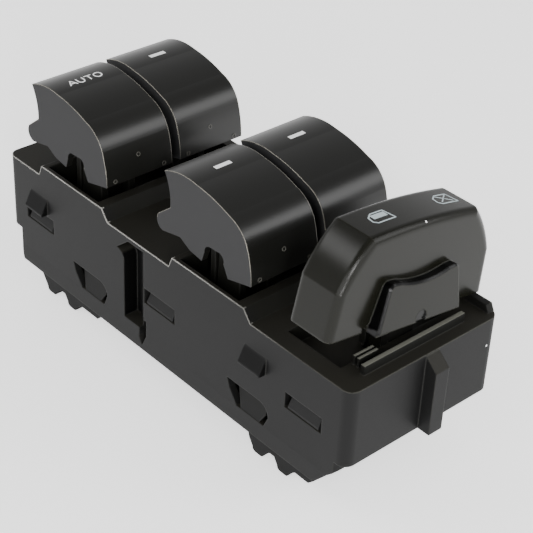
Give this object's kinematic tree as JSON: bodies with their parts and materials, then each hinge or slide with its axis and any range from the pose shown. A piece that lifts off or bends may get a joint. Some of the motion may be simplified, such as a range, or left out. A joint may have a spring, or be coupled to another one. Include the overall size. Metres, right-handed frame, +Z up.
{
  "type": "power window switch",
  "caption": "Black driver's door switch block with window rockers, one marked AUTO, and an arched window lock rocker across the end, on a snap-in housing.",
  "frame": {"origin": "middle of the bounding box, at the level of the feet", "axes": "+X along the housing from the window rockers towards the lock rocker, +Y across the housing, +Z up"},
  "size_m": [0.1334, 0.0516, 0.0698],
  "materials": {
    "housing_plastic": "fine moulded grain, semi-matte",
    "cover_plastic": "semi-matte moulded",
    "rocker_plastic": "satin soft-touch paint",
    "lock_plastic": "satin moulded",
    "board_laminate": "solder resist",
    "tinned_brass": "tin plated",
    "chip_epoxy": "moulded epoxy",
    "led_resin": "clear to milky resin",
    "can_aluminium": "drawn can",
    "slider_plastic": "natural acetal",
    "wiper_bronze": "rolled strip",
    "spring_steel": "bright spring strip"
  },
  "bodies": {
    "base": {"housing": "housing_plastic", "base_cover": "cover_plastic", "circuit_board": "board_laminate", "connector_terminals": "tinned_brass", "driver_chip": "chip_epoxy", "backlight_leds": "led_resin", "capacitors": "can_aluminium", "hairpin_front_left": "spring_steel", "hairpin_front_right": "spring_steel", "hairpin_rear_left": "spring_steel", "hairpin_rear_right": "spring_steel", "hairpin_lock": "spring_steel"},
    "rocker_front_left": {"rocker_front_left": "rocker_plastic"},
    "slider_front_left": {"slider_front_left": "slider_plastic", "wiper_front_left": "wiper_bronze"},
    "rocker_front_right": {"rocker_front_right": "rocker_plastic"},
    "slider_front_right": {"slider_front_right": "slider_plastic", "wiper_front_right": "wiper_bronze"},
    "rocker_rear_left": {"rocker_rear_left": "rocker_plastic"},
    "slider_rear_left": {"slider_rear_left": "slider_plastic", "wiper_rear_left": "wiper_bronze"},
    "rocker_rear_right": {"rocker_rear_right": "rocker_plastic"},
    "slider_rear_right": {"slider_rear_right": "slider_plastic", "wiper_rear_right": "wiper_bronze"},
    "lock_rocker": {"lock_rocker": "lock_plastic"},
    "slider_lock": {"slider_lock": "slider_plastic", "wiper_lock": "wiper_bronze"}
  },
  "joints": [
    {"name": "rocker_front_left_tilt", "type": "hinge", "parent": "base", "child": "rocker_front_left", "pos_m": [-0.03775, -0.01235, 0.047], "axis": [0, 1, 0], "range_deg": [-8, 11], "stiffness_Nm_per_rad": 0.25},
    {"name": "slider_front_left_travel", "type": "slide", "parent": "base", "child": "slider_front_left", "axis": [1, 0, 0], "range_m": [-0.005, 0.0036], "deforming": ["hairpin_front_left"]},
    {"name": "rocker_front_right_tilt", "type": "hinge", "parent": "base", "child": "rocker_front_right", "pos_m": [-0.03775, 0.01065, 0.047], "axis": [0, 1, 0], "range_deg": [-8, 8], "stiffness_Nm_per_rad": 0.25},
    {"name": "slider_front_right_travel", "type": "slide", "parent": "base", "child": "slider_front_right", "axis": [1, 0, 0], "range_m": [-0.0036, 0.0036], "deforming": ["hairpin_front_right"]},
    {"name": "rocker_rear_left_tilt", "type": "hinge", "parent": "base", "child": "rocker_rear_left", "pos_m": [0.01585, -0.01235, 0.047], "axis": [0, 1, 0], "range_deg": [-8, 8], "stiffness_Nm_per_rad": 0.25},
    {"name": "slider_rear_left_travel", "type": "slide", "parent": "base", "child": "slider_rear_left", "axis": [1, 0, 0], "range_m": [-0.0036, 0.0036], "deforming": ["hairpin_rear_left"]},
    {"name": "rocker_rear_right_tilt", "type": "hinge", "parent": "base", "child": "rocker_rear_right", "pos_m": [0.01585, 0.01065, 0.047], "axis": [0, 1, 0], "range_deg": [-8, 8], "stiffness_Nm_per_rad": 0.25},
    {"name": "slider_rear_right_travel", "type": "slide", "parent": "base", "child": "slider_rear_right", "axis": [1, 0, 0], "range_m": [-0.0036, 0.0036], "deforming": ["hairpin_rear_right"]},
    {"name": "lock_rocker_tilt", "type": "hinge", "parent": "base", "child": "lock_rocker", "pos_m": [0.0501, 0, 0.0461], "axis": [1, 0, 0], "range_deg": [0, 17]},
    {"name": "slider_lock_travel", "type": "slide", "parent": "base", "child": "slider_lock", "axis": [0, 1, 0], "range_m": [0, 0.0073], "deforming": ["hairpin_lock"]}
  ],
  "couplings": [
    {"joint": "slider_front_left_travel", "follows": "rocker_front_left_tilt", "m_per_rad": -0.0255},
    {"joint": "slider_front_right_travel", "follows": "rocker_front_right_tilt", "m_per_rad": -0.0255},
    {"joint": "slider_rear_left_travel", "follows": "rocker_rear_left_tilt", "m_per_rad": -0.0255},
    {"joint": "slider_rear_right_travel", "follows": "rocker_rear_right_tilt", "m_per_rad": -0.0255},
    {"joint": "slider_lock_travel", "follows": "lock_rocker_tilt", "m_per_rad": 0.02454}
  ]
}
